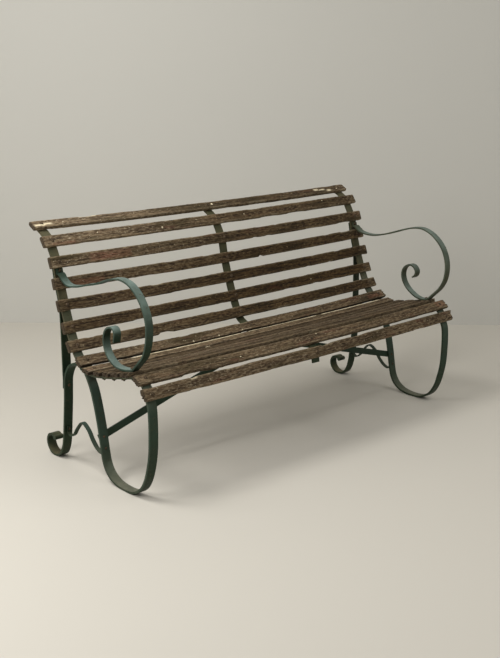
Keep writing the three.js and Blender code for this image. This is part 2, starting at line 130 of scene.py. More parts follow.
def colour(hex_value):
    """Linear RGBA from an sRGB value such as "#6b5d4c"."""
    parts = [int(hex_value[i:i + 2], 16) / 255 for i in (1, 3, 5)]
    linear = [p / 12.92 if p <= 0.04045 else ((p + 0.055) / 1.055) ** 2.4 for p in parts]
    return (*linear, 1.0)


def add_node(tree, kind, inputs=None, out=0, **settings):
    """Adds a shader node and gives one of its outputs. An input is a value or an output."""
    node = tree.nodes.new("ShaderNode" + kind)
    for name, value in settings.items():
        setattr(node, name, value)
    for name, value in (inputs or {}).items():
        if isinstance(value, bpy.types.NodeSocket):
            tree.links.new(value, node.inputs[name])
        else:
            node.inputs[name].default_value = value
    return node.outputs[out] if node.outputs else node


def cells(length, width):
    """The scale of a pattern that long along the bench and that wide across it, in mm."""
    return (1 / (length * MM), 1 / (width * MM), 1 / (width * MM))


def blank_material(name):
    """A material without nodes, and its node tree."""
    material = bpy.data.materials.new(name)
    material.use_nodes = True
    material.node_tree.nodes.clear()
    return material, material.node_tree


FACTOR, UNDER, OVER, MIXED = 0, 6, 7, 2    # sockets of a Mix node that mixes colours
OBJECT_PLACE, MAP_VALUE = 3, 2             # outputs of Texture Coordinate and Attribute
RGBA = {"out": MIXED, "data_type": "RGBA"}
SMOOTH = {"interpolation_type": "SMOOTHSTEP"}
print("sample of old wood, linear:", [round(part, 3) for part in colour("#6b5d4c")[:3]])

# %% [markdown]
# ## Weathered hardwood
# The slats are sawn hardwood that has stood outside for decades.
# Rain and sun wash out the soft part of the grain: the face is ridged, matt and grey-brown.
# Brown heartwood, traces of red lead paint, grey-green algae and pale grain run in long streaks.
# The pattern is drawn in the bench's own axes, so that it always runs along the slats.

# %% Make the weathered hardwood
PATTERNS = {             # mm along and across a slat; real pores are finer, too fine to show
    "grain": (60, 3),    # ridges of late wood
    "streaks": (240, 9), # broad bands of early and late wood
    "flakes": (15, 5),   # lifted and broken fibres
    "stains": (200, 36), # damp and algae
    "primer": (120, 24), # what is left of a red coat
    "lichen": (9, 6),    # pale crusts
}

wood, tree = blank_material("weathered_hardwood")
place = add_node(tree, "TexCoord", out=OBJECT_PLACE)
field = {}
for number, (name, size) in enumerate(PATTERNS.items()):
    at = add_node(tree, "Mapping", {"Vector": place, "Scale": cells(*size),
                                    "Location": (3.7 * number,) * 3})
    field[name] = add_node(tree, "TexNoise", {"Vector": at, "Scale": 1.0, "Detail": 3.0})
value = {name: add_node(tree, "Attribute", out=MAP_VALUE, attribute_name=name)
         for name in ("tone", "worn", "bare", "red", "gap_shade_and_end_dirt")}

layers = (               # from the wood outwards: field, from, to, strength and colour
    ("streaks", 0.34, 0.66, 1.0, "#746149"),
    ("flakes", 0.44, 0.70, 0.85, "#8f7f65"),
    ("stains", 0.48, 0.72, 0.8, "#40361f"),
    ("primer", 0.58, 0.74, 0.5, "#70483a"),
    ("grain", 0.48, 0.30, 0.9, "#231a10"),
    ("flakes", 0.44, 0.28, 0.8, "#2a2014"),
    ("lichen", 0.63, 0.74, 0.8, "#b8ab90"),
)
coat = colour("#4c3d2d")
for name, start, end, strength, tint in layers:
    share = add_node(tree, "MapRange", {"Value": field[name], "From Min": start,
                                        "From Max": end, "To Max": strength}, **SMOOTH)
    coat = add_node(tree, "Mix", {FACTOR: share, UNDER: coat, OVER: colour(tint)}, **RGBA)
# tone 0 is brown heartwood, darkened by painted shade towards the right; tone 1 is washed out to
# grey
shade = add_node(tree, "Mix", {FACTOR: value["tone"], UNDER: colour("#887341"),
                               OVER: colour("#ffffff")}, **RGBA)
coat = add_node(tree, "Mix", {FACTOR: 1.0, UNDER: coat, OVER: shade},
                blend_type="MULTIPLY", **RGBA)
rough = add_node(tree, "MapRange", {"Value": field["flakes"], "From Min": 0.36,
                                    "From Max": 0.5, "To Min": 0.35}, **SMOOTH)
# the pale marks include painted light: a strip on the first seat slat for the lit floor seen
# through its gap
for name, strength, tint in (("red", 0.3, "#7d4d3a"), ("worn", 0.55, "#9a896c"),
                             ("bare", 1.0, "#d9caa8")):
    share = add_node(tree, "Math", {0: value[name], 1: strength}, operation="MULTIPLY")
    share = add_node(tree, "Math", {0: share, 1: rough}, operation="MULTIPLY")
    coat = add_node(tree, "Mix", {FACTOR: share, UNDER: coat, OVER: colour(tint)}, **RGBA)
# near black: painted shade in the narrow gaps of the seat, and dirt on the ends of the slats
coat = add_node(tree, "Mix", {FACTOR: value["gap_shade_and_end_dirt"], UNDER: coat,
                              OVER: colour("#1c130d")}, **RGBA)
relief = add_node(tree, "Math", {0: field["grain"], 1: field["flakes"]}, operation="ADD")
normal = add_node(tree, "Bump", {"Height": relief, "Distance": 2.5 * MM, "Strength": 1.0})
# dry open wood scatters light in its pores and has next to no shine
shader = add_node(tree, "BsdfPrincipled", {"Base Color": coat, "Roughness": 0.88,
                                           "Specular IOR Level": 0.2, "Normal": normal})
add_node(tree, "OutputMaterial", {"Surface": shader})
print("material", wood.name, "of", len(tree.nodes), "nodes")

# %% [markdown]
# ## Painted wrought iron
# The straps are flat bars of wrought iron, bent hot and painted green again and again.
# Old oil paint goes chalky and grey-green on its upper side, where sun and rain reach it.
# It chips at the edges and rubs off near the ground, and brown rust shows through.
# Paint on iron is not a metal to the eye: it is a dull coat with a soft shine.

# %% Make the painted wrought iron
PATTERNS = {             # mm along the bench and across it
    "blotches": (50, 50),    # uneven chalking
    "chips": (9, 9),         # where the paint has lifted
    "brush": (30, 5),        # brush marks and runs
}

iron, tree = blank_material("old_painted_wrought_iron")
place = add_node(tree, "TexCoord", out=OBJECT_PLACE)
field = {}
for number, (name, size) in enumerate(PATTERNS.items()):
    at = add_node(tree, "Mapping", {"Vector": place, "Scale": cells(*size),
                                    "Location": (2.9 * number,) * 3})
    field[name] = add_node(tree, "TexNoise", {"Vector": at, "Scale": 1.0, "Detail": 4.0})
value = {name: add_node(tree, "Attribute", out=MAP_VALUE, attribute_name=name)
         for name in ("chalky", "rusty", "rim")}

uneven = add_node(tree, "MapRange", {"Value": field["blotches"], "From Min": 0.32,
                                     "From Max": 0.68, "To Min": 0.55, "To Max": 1.0},
                  **SMOOTH)
coat = add_node(tree, "Mix", {FACTOR: uneven, UNDER: colour("#08120c"),
                              OVER: colour("#14281d")}, **RGBA)
for name, tint in (("rusty", "#5e523a"), ("chalky", "#8a9a93")):
    share = add_node(tree, "Math", {0: value[name], 1: uneven}, operation="MULTIPLY")
    coat = add_node(tree, "Mix", {FACTOR: share, UNDER: coat, OVER: colour(tint)}, **RGBA)
lifted = add_node(tree, "Math", {0: field["chips"], 1: value["rim"]}, operation="ADD")
lifted = add_node(tree, "MapRange", {"Value": lifted, "From Min": 0.70, "From Max": 0.82,
                                     "To Max": 0.6}, **SMOOTH)
coat = add_node(tree, "Mix", {FACTOR: lifted, UNDER: coat, OVER: colour("#3d3528")}, **RGBA)
relief = add_node(tree, "Math", {0: field["brush"], 1: lifted}, operation="SUBTRACT")
normal = add_node(tree, "Bump", {"Height": relief, "Distance": 0.8 * MM, "Strength": 1.0})
shine = add_node(tree, "MapRange", {"Value": field["blotches"], "From Min": 0.3,
                                    "From Max": 0.7, "To Min": 0.42, "To Max": 0.65})
# chalky oil paint shines weakly, and its shine takes on the green of the coat
shader = add_node(tree, "BsdfPrincipled", {"Base Color": coat, "Roughness": shine,
                                           "Specular IOR Level": 0.35, "Normal": normal,
                                           "Specular Tint": colour("#daf2c4")})
add_node(tree, "OutputMaterial", {"Surface": shader})
print("material", iron.name, "of", len(tree.nodes), "nodes")

# %% [markdown]
# ## Rusty bolts
# Bolt heads and nuts were painted once, but a spanner and the weather took the paint off.
# What is left is brown iron oxide: rough, grainy and nearly without shine.

# %% Make the rusty iron
SCALE = (4, 4)           # mm: grains of scale

rust, tree = blank_material("rusty_forged_iron")
place = add_node(tree, "TexCoord", out=OBJECT_PLACE)
at = add_node(tree, "Mapping", {"Vector": place, "Scale": cells(*SCALE)})
grit = add_node(tree, "TexNoise", {"Vector": at, "Scale": 1.0, "Detail": 4.0})
share = add_node(tree, "MapRange", {"Value": grit, "From Min": 0.35, "From Max": 0.65},
                 **SMOOTH)
coat = add_node(tree, "Mix", {FACTOR: share, UNDER: colour("#2c2519"),
                              OVER: colour("#574735")}, **RGBA)
normal = add_node(tree, "Bump", {"Height": grit, "Distance": 0.6 * MM, "Strength": 1.0})
shader = add_node(tree, "BsdfPrincipled", {"Base Color": coat, "Roughness": 0.8,
                                           "Specular IOR Level": 0.2, "Normal": normal})
add_node(tree, "OutputMaterial", {"Surface": shader})
print("material", rust.name, "of", len(tree.nodes), "nodes")

# %% [markdown]
# ## Reading how a slat lies
# Each slat lies at its own angle on the bent straps.
# The narrowest way through its solid is its thickness, so a short search finds its face.
# The bench also hangs a little between its two ends, as old benches do.
# Nor are the slats quite parallel: whoever renewed them fixed some a little higher or lower.

# %% Find the axes of every slat
STRAP_X = 723 * MM       # from the bench's middle to each outer strap
SAG = 5.5 * MM
SEARCH_STEP = 0.1        # degrees
SLATS = ([f"back_slat_{n}" for n in range(1, 8)] + ["corner_slat"]
         + [f"seat_slat_{n}" for n in range(1, 6)] + ["front_roll_slat", "front_edge_slat"])
SLIPS = {                # mm up the strap, at the left, middle and right strap
    "back_slat_2": (1, 5, 7), "back_slat_3": (0, 4, 4.5), "back_slat_4": (-2, -2, 0),
    "back_slat_5": (0, 1, 3), "back_slat_6": (-2, 0, 2), "back_slat_7": (2.5, 4, 4),
    "corner_slat": (0, -4, 0),
}


def sag(x):
    """How far the bench hangs at a place along it."""
    return SAG * max(0.0, 1 - (x / STRAP_X) ** 2)


def slip(node, x):
    """How far up the straps a slat was fixed by hand, at a place along it."""
    left, middle, right = SLIPS.get(node, (0, 0, 0))
    t = x / STRAP_X
    return (middle + (right - left) / 2 * t + ((right + left) / 2 - middle) * t * t) * MM


def slat_axes(node):
    """A slat's middle, the way across its face, the way its face looks, and its half sizes."""
    points = np.array([v.co for v in frame["nodes"][node].data.vertices])[:, 1:]
    turns = np.radians(np.arange(0, 180, SEARCH_STEP))
    faces = np.stack([np.cos(turns), np.sin(turns)])
    reach = points @ faces
    face = faces[:, np.argmin(np.ptp(reach, axis=0))]
    if face[1] < face[0]:
        face = -face         # the face looks up or forward, never down or back
    across = np.array([-face[1], face[0]])
    ways = np.stack([across, face])
    low = (points @ ways.T).min(axis=0)
    high = (points @ ways.T).max(axis=0)
    return (low + high) / 2 @ ways, across, face, (high - low) / 2


for name in (SLATS[0], SLATS[-1]):
    halves = slat_axes(name)[3]
    print(name, "is", [round(2 * half / MM, 1) for half in halves], "mm")

# %% [markdown]
# ## From a mesh to a piece
# Every piece below is worked out in a bmesh, Blender's mesh for editing.
# To be seen, it has to become the data of an object in the scene, smooth and in its material.
# Those steps are always the same, so one function takes them. It also ties the piece to the
# bench's only body, and says what it is made of.

# %% Finish a piece


def finished_piece(mesh, name, material):
    """An object from a mesh, smooth, in its material, that rides on the bench."""
    data = bpy.data.meshes.new(name)
    mesh.to_mesh(data)
    mesh.free()
    data.shade_smooth()
    data.materials.append(material)
    piece = bpy.data.objects.new(name, data)
    bpy.context.collection.objects.link(piece)
    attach(piece, BODY)
    return piece


# %% [markdown]
# ## Worn slats
# A slat began as a straight sawn batten with eased edges.
# It could be a box with a bevel, but that looks new from every side.
# Here it is built from some two hundred and fifty cross-sections, each a rounded rectangle whose
# points move a little: raised grain, rubbed edges, torn-out splinters, rough ends.
# The mesh also carries five values for the material: how worn, how pale and how red the wood
# is at a point, how much painted shade and end dirt darken it, and the slat's tone with painted
# shade to the right.

# %% The outline of one section
CORNER = 3.6 * MM        # radius of an eased edge
FACE_STEPS = 12
CORNER_STEPS = 3


def section_outline(half_width, half_thick):
    """Points round a slat's section, as (across, up)."""
    flat, side = half_width - CORNER, half_thick - CORNER
    turns = [math.radians(90 * step / CORNER_STEPS) for step in range(CORNER_STEPS + 1)]
    outline = []
    for quarter, (sx, sy) in enumerate(((1, 1), (-1, 1), (-1, -1), (1, -1))):
        for turn in turns:
            angle = turn + math.radians(90 * quarter)
            outline.append((sx * flat + CORNER * math.cos(angle),
                            sy * side + CORNER * math.sin(angle)))
        if quarter in (0, 2):
            outline += [(sx * flat * (1 - 2 * step / FACE_STEPS), sy * half_thick)
                        for step in range(1, FACE_STEPS)]
    return outline


print("points round a slat:", len(section_outline(18.5 * MM, 7.5 * MM)))

# %% [markdown]
# ## Splinters
# Wood breaks along its grain: an edge loses long thin slivers, deep at one end, shallow at the
# other. They could be cut with a boolean, but a depth for each place along the edge is lighter.
# The largest breaks have places of their own, and dice with a fixed seed throw the small ones.

# %% Splinters torn from the edges
SPLINTERS = (9, 14)      # how many on a slat, at least and at most
SPLINTER_LENGTH = (20, 120)              # mm, from and to
SPLINTER_DEPTH = (0.8, 2.6)              # mm, from and to
FRESHNESS = (0.0, 0.0, 0.0, 0.1)         # one break in four is a little paler
DEEPENS, RUNS_OUT = 0.15, 0.4            # shares of a sliver's length
PALE_FROM = 0.3          # share of its depth from which a fresh break shows fully pale
KNOWN_BREAKS = {         # mm: start, end, depth, side (1 is the lower edge), how fresh (0 to 1)
    "back_slat_1": ((-570, -492, 5.0, -1, 1.0),),
    "back_slat_4": ((158, 186, 5.0, 1, 0.0),),
    "back_slat_7": ((-392, -318, 7.0, 1, 0.1),),
    "corner_slat": ((-60, 10, 4.0, 1, 0.3),),
    "front_roll_slat": ((-590, -470, 6.0, 1, 0.0),),
    "front_edge_slat": ((-570, -540, 3.0, -1, 0.9), (20, 60, 5.0, -1, 0.1)),
}


def splinters_of(node, number, half_length):
    """Places where wood is gone: start, length, depth, side and how fresh the break is."""
    dice = random.Random(number)
    torn = []
    for _ in range(dice.randint(*SPLINTERS)):
        torn.append((dice.uniform(-half_length, half_length), dice.uniform(*SPLINTER_LENGTH) * MM,
                     dice.uniform(*SPLINTER_DEPTH) * MM, dice.choice((-1, 1)),
                     dice.choice(FRESHNESS)))
    for start, end, depth, side, fresh in KNOWN_BREAKS.get(node, ()):
        torn.append((start * MM, (end - start) * MM, depth * MM, side, fresh))
    return torn


def torn_depth(x, side, torn):
    """How deep the wood is gone at a place on one edge, and how fresh the break is."""
    depth, fresh = 0.0, 0.0
    for start, length, most, torn_side, new in torn:
        share = (x - start) / length
        if 0 < share < 1 and side == torn_side:
            here = most * min(share / DEEPENS, 1.0) * min((1 - share) / RUNS_OUT, 1.0)
            if here > depth:
                depth, fresh = here, new * min(1.0, here / (PALE_FROM * most))
    return depth, fresh


print("splinters on the first slat:", len(splinters_of(SLATS[0], 1, CAD_BOX[1].x)))

# %% [markdown]
# ## Patches
# Pale wood shows where a face has split away at the ends of the top slat. A pale strip along the
# rear edge of the first seat slat is painted light, for the lit floor seen through the gap. A red
# coat clings to others.
# An image could be painted for them, but soft rectangles in millimetres are enough.

# %% Patches of bare wood, painted light and red primer on the faces
PATCHES = {              # mm: along from, to, across from, to, and which value they set
    "back_slat_1": ((-752, -712, 3, 11, "bare"), (-724, -684, 0, 8, "bare"),
                    (580, 600, -8, 2, "bare"), (606, 640, -2, 4, "bare"),
                    (648, 668, 4, 14, "bare")),
    "back_slat_2": ((-730, -640, 8, 17, "red"),),
    "back_slat_3": ((-600, -430, -12, 14, "red"),),
    "back_slat_4": ((-690, -560, -4, 18, "red"),),
    "corner_slat": ((655, 740, -4, 12, "red"),),
    # the pale strip along its rear edge is painted light, for the lit floor seen through the gap
    # behind this slat
    "seat_slat_1": ((-560, -60, -16.5, -10.5, "bare"), (-30, 330, -16.5, -11.5, "bare"),
                    (360, 700, -16.5, -11, "bare")),
    "front_roll_slat": ((700, 752, -14, 10, "red"),),
}
SOFT_BORDER = 3 * MM     # across the slat
SOFT_ENDS = 3            # how many times softer a patch ends along the grain


def patch_share(node, kind, x, s):
    """How much of a patch of one kind lies at a place on a slat's face, from 0 to 1."""
    most = 0.0
    for x_from, x_to, s_from, s_to, patch_kind in PATCHES.get(node, ()):
        if patch_kind == kind:
            inside = min((x - x_from * MM) / SOFT_ENDS, (x_to * MM - x) / SOFT_ENDS,
                         s - s_from * MM, s_to * MM - s)
            most = max(most, min(1.0, inside / SOFT_BORDER + 0.5))
    return most


print("patches on", len(PATCHES), "slats")

# %% [markdown]
# ## Tone, wear, painted shade and dirt
# The left part of the bench has washed out to grey. The right part is darker and browner: partly
# its own brown, partly painted shade for light that falls off from the left.
# The edges in the narrow gaps between the seat slats are darkened with painted shade, and the
# ends with dirt.
# Painting this by hand is slow, so each effect is a small function of the place on a slat.

# %% Tone along a slat
# how grey each slat is at its left end: 0 is brown, 1 is grey
SLAT_TONES = (1.15, 1.0, 0.87, 0.6, 0.38, 0.32, 0.5, 0.7, 0.95, 0.3, 0.72, 0.6, 0.38, 0.7,
              0.88)
SEAT = 8                 # the seat begins with this slat, counted from the top
BROWNER_AND_SHADED = {"back": 0.65, "seat": 0.2}    # how much darker and browner the right-hand part is: partly its own brown, partly painted shade
BROWNER_AND_SHADED_FROM, BROWNER_AND_SHADED_TO = -500 * MM, 100 * MM
BLEACHED_END = 0.35      # the right ends, past the strap, are paler again
BLEACHED_REACH = 15 * MM


def ramp(value, start, end):
    """How far a value has come on its way from start to end, from 0 to 1."""
    return min(1.0, max(0.0, (value - start) / (end - start)))


def tone_at(number, part, x):
    """How grey the wood is at a place along a slat, with painted shade towards the right."""
    grey = SLAT_TONES[number - 1] * (1 - BROWNER_AND_SHADED[part] * ramp(x, BROWNER_AND_SHADED_FROM, BROWNER_AND_SHADED_TO))
    return grey + BLEACHED_END * ramp(x, STRAP_X - BLEACHED_REACH, STRAP_X)


print("tones of the first slat, left and right:",
      [round(tone_at(1, "back", x), 2) for x in (CAD_BOX[0].x, CAD_BOX[1].x)])

# %% Wear of the edges and of the grain
RUBBED = (0.5, 1.0, 0.8) # mm lost by an edge: evenly, in long waves and in short ones
LONG_WAVE, SHORT_WAVE = 60 * MM, 13 * MM
END_RUB = 1 * MM         # more wear at the very ends
GRAIN = (110, 3.5)       # mm along and across: ridges of the grain
FLAKES = (17, 6)         # mm along and across: lifted fibres
GRAIN_LIFT = 0.5 * MM
FLAKE_LIFT = 0.6 * MM
GRAIN_EVEN = 0.5
RAGGED = 11 * MM         # how deep rot eats into the ends of the seat slats
ROT_EVEN, ROT_UNEVEN = 0.2, 1.5          # shares of that depth, all along an end and in bites
ROT_WIDTH = 6 * MM       # of a bite
ROWS = {"slow": 5.1, "quick": 3.7, "grain": 7.3, "flake": 9.1, "rot": 3.3}   # steps in the noise


def ripple(*place):
    """Smooth noise from -1 to 1. Each slat reads a row of its own in it."""
    return noise.noise(Vector(place))


def rubbed_off(number, side, x, near_end):
    """How far an edge is worn, at a place along it."""
    even, slow, quick = RUBBED
    slow *= ripple(x / LONG_WAVE, number * ROWS["slow"], side)
    quick *= ripple(x / SHORT_WAVE, number * ROWS["quick"], side + 7)
    return max(0.0, even + slow + quick) * MM + near_end * END_RUB


def washed_out(number, up, x, s):
    """How deep the soft wood is washed out of a face."""
    grain = ripple(x / (GRAIN[0] * MM), s / (GRAIN[1] * MM), number * ROWS["grain"] + up)
    flake = ripple(x / (FLAKES[0] * MM), s / (FLAKES[1] * MM), number * ROWS["flake"] + up)
    return GRAIN_LIFT * (GRAIN_EVEN + grain) + FLAKE_LIFT * max(0.0, flake)


def rotted_away(number, part, x, s, near_end):
    """How much of a seat slat's end has rotted away."""
    eaten = ROT_EVEN + ROT_UNEVEN * ripple(s / ROT_WIDTH, number * ROWS["rot"], x)
    return RAGGED * max(0.0, near_end * eaten) * (part == "seat")


print("an edge is rubbed off by up to", round(max(rubbed_off(1, 1, x / 100, 0) / MM
                                               for x in range(-70, 70)), 1), "mm")

# %% Painted shade in the gaps of the seat, and dirt at the ends
GAP_SHADE_REACH = 3.5 * MM   # how far it goes in from an edge
FULL_GAP_SHADE = 0.9
GAP_SHADE = {"seat_slat_5": 0.3, "front_roll_slat": 0.2, "front_edge_slat": 0.3}  # the front gaps get less painted shade
END_GRIME = 0.75
END_SHARPNESS = 4        # a power: the higher, the closer dirt keeps to the end


def gap_shade_and_end_dirt_at(node, part, inside, near_end, patch):
    """How dark a slat is painted at a depth inside its edge: painted shade in the seat's gaps,
    dirt at its ends. Pale patches get no painted shade.
    """
    gap = GAP_SHADE.get(node, FULL_GAP_SHADE) * max(0.0, 1 - inside / GAP_SHADE_REACH)
    return max(gap * (part == "seat") * (1 - patch), END_GRIME * near_end ** END_SHARPNESS)


# the value printed is painted shade in a gap
print("dirt on the edge of a seat slat:", gap_shade_and_end_dirt_at("seat_slat_2", "seat", 0, 0, 0))

# %% [markdown]
# ## Spots
# Nail holes were stopped with pale filler, and lichen grows in small round crusts.
# Both stand a little proud of the wood, so each is a flattened ball pressed into the face.

# %% Spots of pale filler and lichen
SPOTS = {                # mm: along the bench, across the slat, radius
    "back_slat_1": ((23, 1, 5.0), (707, 7, 3.2), (-640, 3, 2.0), (600, -2, 2.6)),
    "back_slat_2": ((-541, -8, 2.6), (-267, 5, 3.4), (568, -11, 2.4), (133, -3, 2.2)),
    "back_slat_6": ((401, 0, 2.4),),
    "corner_slat": ((-50, 12, 2.4), (-284, 16, 3.4), (-165, 15, 3.0)),
    "seat_slat_2": ((-286, -6, 2.8), (-279, -6, 3.2), (-270, -7, 2.6)),
    "front_roll_slat": ((-336, 5, 2.4), (34, -12, 2.6)),
}
SPOT_HEIGHT = 0.35       # of the radius


def add_spots(mesh, bare, node):
    """The pale drops on a slat's face, marked as bare wood."""
    middle, across, face, (_, half_t) = slat_axes(node)
    up = Vector((0, face[0], face[1]))
    lean = up.to_track_quat("Z", "X").to_matrix().to_4x4()
    for x, s, radius in SPOTS.get(node, ()):
        yz = middle + across * (s * MM - slip(node, x * MM)) + face * (half_t - GRAIN_LIFT)
        place = Matrix.Translation((x * MM, yz[0], yz[1] - sag(x * MM)))
        flatten = Matrix.Diagonal((radius * MM, radius * MM, radius * MM * SPOT_HEIGHT, 1))
        drop = bmesh.ops.create_uvsphere(mesh, u_segments=10, v_segments=6, radius=1.0,
                                         matrix=place @ lean @ flatten)
        for point in drop["verts"]:
            point[bare] = 1.0


print("spots on", len(SPOTS), "slats")

# %% [markdown]
# ## From sections to slats
# Every section takes the outline, moves its points by the effects above and stores the values.
# Neighbouring sections are joined by faces, and the two end sections are closed.
# Loops of points like these give full control of each splinter, which a modifier would not.

# %% One section of a slat
MAPS = ("worn", "bare", "tone", "red", "gap_shade_and_end_dirt")
EDGE_REACH = 9 * MM      # how far from an edge its wear goes
FACE_SHARE = 0.6         # an edge is rubbed less from its face than from its side
WORN_EVEN, WORN_RUB, WORN_END = 0.5, 2 * MM, 0.5     # how pale wear makes an edge and an end
FRESH_SHARE = 1.6        # a fresh break is pale from the edge to well inside it


def ring_of_points(mesh, maps, slat, x, near_end):
    """One section of a slat, with the five values for its material at every point."""
    node, number, part, torn = slat["node"], slat["number"], slat["part"], slat["torn"]
    middle, across, face, (half_w, half_t) = slat["axes"]
    wave = math.sin(math.pi * abs(x) / STRAP_X)
    wear = {side: (rubbed_off(number, side, x, near_end), *torn_depth(x, side, torn))
            for side in (-1, 1)}
    ring = []
    for s, h in slat["outline"]:
        side, up = (1 if s > 0 else -1), (1 if h > 0 else -1)
        rub, depth, fresh = wear[side]
        edge = max(0.0, (abs(s) - (half_w - EDGE_REACH)) / EDGE_REACH)
        corner = edge ** 2 * abs(h) / half_t
        inward = corner * rub + edge * depth
        outward = slat["swell"][side] * min(1.0, abs(s) / (half_w - EDGE_REACH))
        s_new = s + side * (outward - inward) + slat["bow_side"] * wave - slip(node, x)
        h_new = h - up * (FACE_SHARE * corner * rub + washed_out(number, up, x, s))
        yz = middle + across * s_new + face * (h_new + slat["bow_up"] * wave)
        x_new = x - math.copysign(rotted_away(number, part, x, s, near_end), x)
        point = mesh.verts.new((x_new, yz[0], yz[1] - sag(x)))
        patch = patch_share(node, "bare", x, s) if h > 0 else 0.0
        values = {
            "worn": min(1.0, corner * (WORN_EVEN + rub / WORN_RUB) + near_end * WORN_END),
            "bare": max(fresh * min(1.0, FRESH_SHARE * edge), patch),
            "red": patch_share(node, "red", x, s) if h > 0 else 0.0,
            "tone": tone_at(number, part, x),
            "gap_shade_and_end_dirt": gap_shade_and_end_dirt_at(node, part, half_w - abs(s), near_end, patch),
        }
        for name, value in values.items():
            point[maps[name]] = value
        ring.append(point)
    return ring


print("values at every point:", ", ".join(MAPS))

# %% Build the fifteen slats
STATION = 6 * MM         # from one section to the next
END_REACH = 8 * MM       # how far from an end its wear goes
BOW = 1.2 * MM           # how far a slat bends between two straps
TRIM = 3 * MM            # how much shorter than its solid a slat may be at each end
BUILD_SEED = 100         # and the slat's number
SWELLS = {               # mm: how far wet wood swelled past its sawn size, upper and lower edge
    "back_slat_1": (0, 2.2), "back_slat_3": (1.7, 1.2), "back_slat_4": (0.6, 1.7),
    "front_edge_slat": (3.0, 0.6),
}
USUAL_SWELL = (1.7, 1.7)
WOOD_ANGLE = math.radians(50)            # sharper edges than this stay sharp


def joined_rings(mesh, rings, gap_shade_and_end_dirt):
    """The faces between the sections of a slat, and its two dirty ends."""
    for before, after in zip(rings, rings[1:]):
        for k, point in enumerate(before):
            mesh.faces.new((before[k - 1], point, after[k], after[k - 1]))
    for ring in (rings[0], rings[-1]):
        middle_point, = bmesh.ops.poke(mesh, faces=[mesh.faces.new(ring)])["verts"]
        middle_point[gap_shade_and_end_dirt] = END_GRIME


def worn_slat(node, number):
    """A weathered slat in the place of a solid one."""
    axes = slat_axes(node)
    low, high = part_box(node)
    dice = random.Random(BUILD_SEED + number)
    start, end = low.x + dice.uniform(0, TRIM), high.x - dice.uniform(0, TRIM)
    swell = {side: mm * MM for side, mm in zip((-1, 1), SWELLS.get(node, USUAL_SWELL))}
    slat = {"node": node, "number": number, "part": "seat" if number >= SEAT else "back",
            "axes": axes, "outline": section_outline(*axes[3]), "swell": swell,
            "torn": splinters_of(node, number, high.x),
            "bow_side": dice.uniform(-BOW, BOW), "bow_up": dice.uniform(-BOW, 0)}
    mesh = bmesh.new()
    maps = {name: mesh.verts.layers.float.new(name) for name in MAPS}
    count = round((end - start) / STATION)
    rings = []
    for station in range(count + 1):
        x = start + (end - start) * station / count
        near_end = max(0.0, 1 - min(x - start, end - x) / END_REACH)
        rings.append(ring_of_points(mesh, maps, slat, x, near_end))
    joined_rings(mesh, rings, maps["gap_shade_and_end_dirt"])
    add_spots(mesh, maps["bare"], node)
    bmesh.ops.recalc_face_normals(mesh, faces=mesh.faces)
    piece = finished_piece(mesh, node + "_worn", wood)
    piece.data.set_sharp_from_angle(angle=WOOD_ANGLE)
    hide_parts(node)
    return piece


slats = [worn_slat(name, number + 1) for number, name in enumerate(SLATS)]
print(len(slats), "slats with", sum(len(slat.data.vertices) for slat in slats), "points")

# %% [markdown]
# ## Forged iron
# The bars were cut, bent and hammered by hand, and many coats of paint round their edges.
# Each solid is copied, its sharp edges are bevelled and a value marks the rim of the bar.
# The material chips the paint there first. Other values say how far the paint has gone chalky
# from above, with less chalk at the back as painted shade, and how rusty it is near the ground
# and below the dripping slats.

# %% Copy and round a piece of iron
ROUNDING = {"bar": 1.1 * MM, "bolt": 0.7 * MM}
SHARP = math.radians(38)
WELD = 0.01 * MM         # closer points than this are one
FLAT = math.radians(0.4) # faces that turn less than this become one
BEVEL = {"segments": 2, "profile": 0.6, "affect": "EDGES", "clamp_overlap": True}


def rounded_copy(node, rounding):
    """A solid's mesh with its sharp edges rounded off."""
    mesh = bmesh.new()
    mesh.from_mesh(frame["nodes"][node].data)
    bmesh.ops.remove_doubles(mesh, verts=mesh.verts, dist=WELD)
    bmesh.ops.dissolve_limit(mesh, angle_limit=FLAT, verts=mesh.verts, edges=mesh.edges)
    sharp = [edge for edge in mesh.edges if edge.is_manifold and edge.calc_face_angle() > SHARP]
    bmesh.ops.bevel(mesh, geom=sharp, offset=rounding, **BEVEL)
    return mesh


sample = rounded_copy("centre_brace_bolt", ROUNDING["bolt"])
print("a rounded bolt has", len(sample.faces), "faces")
sample.free()

# %% Dress the iron
GROUND_REACH = 150 * MM  # how high up the legs the dirt goes
GROUND_SIDE, GROUND_TOP = 0.15, 0.75     # dirt on upright faces, and how much more on top
DRY_FROM = 300 * MM      # above this height the slats drip brown water on the iron
RIM_WEAR = 0.12          # how much sooner the paint chips at the rim
RIM_SHARPNESS = 6        # a power: the higher, the closer wear keeps to the rim
WIDEST_BAR = 40 * MM     # a piece wider than this runs across the bench and has no such rim
ROOT_Y = 180 * MM        # behind this line, where the arms join the back under the slats, the chalk is held back: painted shade
ROOT_REACH = 60 * MM
ROOT_CHALK = 0.2         # what is left of the chalk there
SIDE_CHALK = 0.25        # upright faces are a little chalky too
# iron that hangs down with the middle of the slats
HANGING = ("centre_strap", "brace_left", "brace_right", "centre_brace_bolt")


